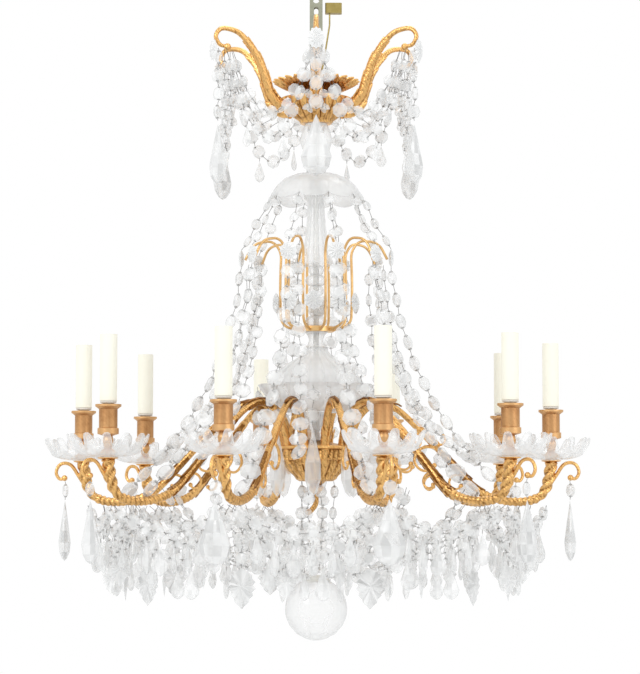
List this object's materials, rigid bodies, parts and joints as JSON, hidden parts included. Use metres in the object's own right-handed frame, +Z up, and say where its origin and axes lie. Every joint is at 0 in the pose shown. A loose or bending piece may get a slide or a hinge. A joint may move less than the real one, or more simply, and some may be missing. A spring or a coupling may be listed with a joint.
{
  "type": "crystal chandelier",
  "caption": "Hanging candle-style chandelier with scrolled bronze arms, glass dishes, strings of crystal beads and hanging drops.",
  "frame": {"origin": "centre of the top hole of the steel hanging link, where the chandelier hangs", "axes": "+Z up along the central rod, -Y towards the viewer of the picture, +X to the viewer's right"},
  "size_m": [0.8388, 0.8124, 1.0012],
  "materials": {
    "gilt_bronze": "satin gilt",
    "crystal": "polished, cut",
    "steel": "dull",
    "block_brass": "dull",
    "lampholder_grey": "matte",
    "candle_cream": "matte"
  },
  "bodies": {
    "hanger": {"hanging_link": "steel"},
    "chandelier": {"stem_loop": "gilt_bronze", "crown_dish": "gilt_bronze", "crown_cup": "gilt_bronze", "crown_arms": "gilt_bronze", "wire_basket": "gilt_bronze", "hub": "gilt_bronze", "hub_finial": "gilt_bronze", "candle_cups": "gilt_bronze", "arm_1": "gilt_bronze", "arm_2": "gilt_bronze", "arm_3": "gilt_bronze", "arm_4": "gilt_bronze", "arm_5": "gilt_bronze", "arm_6": "gilt_bronze", "arm_7": "gilt_bronze", "arm_8": "gilt_bronze", "arm_9": "gilt_bronze", "arm_10": "gilt_bronze", "stem_vase": "crystal", "canopy": "crystal", "trumpet": "crystal", "glass_spacers": "crystal", "glass_bell": "crystal", "glass_bowl": "crystal", "bobeches": "crystal", "tent_strings": "crystal", "crown_strings": "crystal", "skirt_strings": "crystal", "rosettes_and_plaques": "crystal", "ball": "crystal", "central_rod": "steel", "supply_block": "block_brass", "lampholders": "lampholder_grey"},
    "sleeve_1": {"candle_sleeve_1": "candle_cream"},
    "sleeve_2": {"candle_sleeve_2": "candle_cream"},
    "sleeve_3": {"candle_sleeve_3": "candle_cream"},
    "sleeve_4": {"candle_sleeve_4": "candle_cream"},
    "sleeve_5": {"candle_sleeve_5": "candle_cream"},
    "sleeve_6": {"candle_sleeve_6": "candle_cream"},
    "sleeve_7": {"candle_sleeve_7": "candle_cream"},
    "sleeve_8": {"candle_sleeve_8": "candle_cream"},
    "sleeve_9": {"candle_sleeve_9": "candle_cream"},
    "sleeve_10": {"candle_sleeve_10": "candle_cream"},
    "arm_drop_1": {"arm_drop_1": "crystal"},
    "arm_drop_2": {"arm_drop_2": "crystal"},
    "arm_drop_3": {"arm_drop_3": "crystal"},
    "arm_drop_4": {"arm_drop_4": "crystal"},
    "arm_drop_5": {"arm_drop_5": "crystal"},
    "arm_drop_6": {"arm_drop_6": "crystal"},
    "arm_drop_7": {"arm_drop_7": "crystal"},
    "arm_drop_8": {"arm_drop_8": "crystal"},
    "arm_drop_9": {"arm_drop_9": "crystal"},
    "arm_drop_10": {"arm_drop_10": "crystal"},
    "crown_drop_1": {"crown_drop_1": "crystal"},
    "crown_drop_2": {"crown_drop_2": "crystal"},
    "crown_drop_3": {"crown_drop_3": "crystal"},
    "crown_drop_4": {"crown_drop_4": "crystal"},
    "crown_drop_5": {"crown_drop_5": "crystal"},
    "crown_drop_6": {"crown_drop_6": "crystal"}
  },
  "joints": [
    {"name": "chandelier_swing", "type": "hinge", "parent": "hanger", "child": "chandelier", "pos_m": [0, 0, -0.076], "axis": [0, 1, 0], "range_deg": [-2.5, 2.5]},
    {"name": "sleeve_1_lift", "type": "slide", "parent": "chandelier", "child": "sleeve_1", "axis": [0, 0, 1], "range_m": [0, 0.09]},
    {"name": "sleeve_2_lift", "type": "slide", "parent": "chandelier", "child": "sleeve_2", "axis": [0, 0, 1], "range_m": [0, 0.09]},
    {"name": "sleeve_3_lift", "type": "slide", "parent": "chandelier", "child": "sleeve_3", "axis": [0, 0, 1], "range_m": [0, 0.09]},
    {"name": "sleeve_4_lift", "type": "slide", "parent": "chandelier", "child": "sleeve_4", "axis": [0, 0, 1], "range_m": [0, 0.09]},
    {"name": "sleeve_5_lift", "type": "slide", "parent": "chandelier", "child": "sleeve_5", "axis": [0, 0, 1], "range_m": [0, 0.09]},
    {"name": "sleeve_6_lift", "type": "slide", "parent": "chandelier", "child": "sleeve_6", "axis": [0, 0, 1], "range_m": [0, 0.09]},
    {"name": "sleeve_7_lift", "type": "slide", "parent": "chandelier", "child": "sleeve_7", "axis": [0, 0, 1], "range_m": [0, 0.09]},
    {"name": "sleeve_8_lift", "type": "slide", "parent": "chandelier", "child": "sleeve_8", "axis": [0, 0, 1], "range_m": [0, 0.09]},
    {"name": "sleeve_9_lift", "type": "slide", "parent": "chandelier", "child": "sleeve_9", "axis": [0, 0, 1], "range_m": [0, 0.09]},
    {"name": "sleeve_10_lift", "type": "slide", "parent": "chandelier", "child": "sleeve_10", "axis": [0, 0, 1], "range_m": [0, 0.09]},
    {"name": "arm_drop_1_swing", "type": "hinge", "parent": "chandelier", "child": "arm_drop_1", "pos_m": [0.10042, -0.37478, -0.7841], "axis": [0.2588, -0.9659, 0], "range_deg": [-12, 12]},
    {"name": "arm_drop_2_swing", "type": "hinge", "parent": "chandelier", "child": "arm_drop_2", "pos_m": [0.30153, -0.24418, -0.7841], "axis": [0.7771, -0.6293, 0], "range_deg": [-12, 12]},
    {"name": "arm_drop_3_swing", "type": "hinge", "parent": "chandelier", "child": "arm_drop_3", "pos_m": [0.38747, -0.02031, -0.7841], "axis": [0.9986, -0.0523, 0], "range_deg": [-12, 12]},
    {"name": "arm_drop_4_swing", "type": "hinge", "parent": "chandelier", "child": "arm_drop_4", "pos_m": [0.3254, 0.21132, -0.7841], "axis": [0.8387, 0.5446, 0], "range_deg": [-12, 12]},
    {"name": "arm_drop_5_swing", "type": "hinge", "parent": "chandelier", "child": "arm_drop_5", "pos_m": [0.13905, 0.36223, -0.7841], "axis": [0.3584, 0.9336, 0], "range_deg": [-12, 12]},
    {"name": "arm_drop_6_swing", "type": "hinge", "parent": "chandelier", "child": "arm_drop_6", "pos_m": [-0.10042, 0.37478, -0.7841], "axis": [-0.2588, 0.9659, 0], "range_deg": [-12, 12]},
    {"name": "arm_drop_7_swing", "type": "hinge", "parent": "chandelier", "child": "arm_drop_7", "pos_m": [-0.30153, 0.24418, -0.7841], "axis": [-0.7771, 0.6293, 0], "range_deg": [-12, 12]},
    {"name": "arm_drop_8_swing", "type": "hinge", "parent": "chandelier", "child": "arm_drop_8", "pos_m": [-0.38747, 0.02031, -0.7841], "axis": [-0.9986, 0.0523, 0], "range_deg": [-12, 12]},
    {"name": "arm_drop_9_swing", "type": "hinge", "parent": "chandelier", "child": "arm_drop_9", "pos_m": [-0.3254, -0.21132, -0.7841], "axis": [-0.8387, -0.5446, 0], "range_deg": [-12, 12]},
    {"name": "arm_drop_10_swing", "type": "hinge", "parent": "chandelier", "child": "arm_drop_10", "pos_m": [-0.13905, -0.36223, -0.7841], "axis": [-0.3584, -0.9336, 0], "range_deg": [-12, 12]},
    {"name": "crown_drop_1_swing", "type": "hinge", "parent": "chandelier", "child": "crown_drop_1", "pos_m": [0, -0.172, -0.2147], "axis": [0, -1, 0], "range_deg": [-12, 12]},
    {"name": "crown_drop_2_swing", "type": "hinge", "parent": "chandelier", "child": "crown_drop_2", "pos_m": [0.14896, -0.086, -0.2147], "axis": [0.866, -0.5, 0], "range_deg": [-12, 12]},
    {"name": "crown_drop_3_swing", "type": "hinge", "parent": "chandelier", "child": "crown_drop_3", "pos_m": [0.14896, 0.086, -0.2147], "axis": [0.866, 0.5, 0], "range_deg": [-12, 12]},
    {"name": "crown_drop_4_swing", "type": "hinge", "parent": "chandelier", "child": "crown_drop_4", "pos_m": [0, 0.172, -0.2147], "axis": [0, 1, 0], "range_deg": [-12, 12]},
    {"name": "crown_drop_5_swing", "type": "hinge", "parent": "chandelier", "child": "crown_drop_5", "pos_m": [-0.14896, 0.086, -0.2147], "axis": [-0.866, 0.5, 0], "range_deg": [-12, 12]},
    {"name": "crown_drop_6_swing", "type": "hinge", "parent": "chandelier", "child": "crown_drop_6", "pos_m": [-0.14896, -0.086, -0.2147], "axis": [-0.866, -0.5, 0], "range_deg": [-12, 12]}
  ]
}
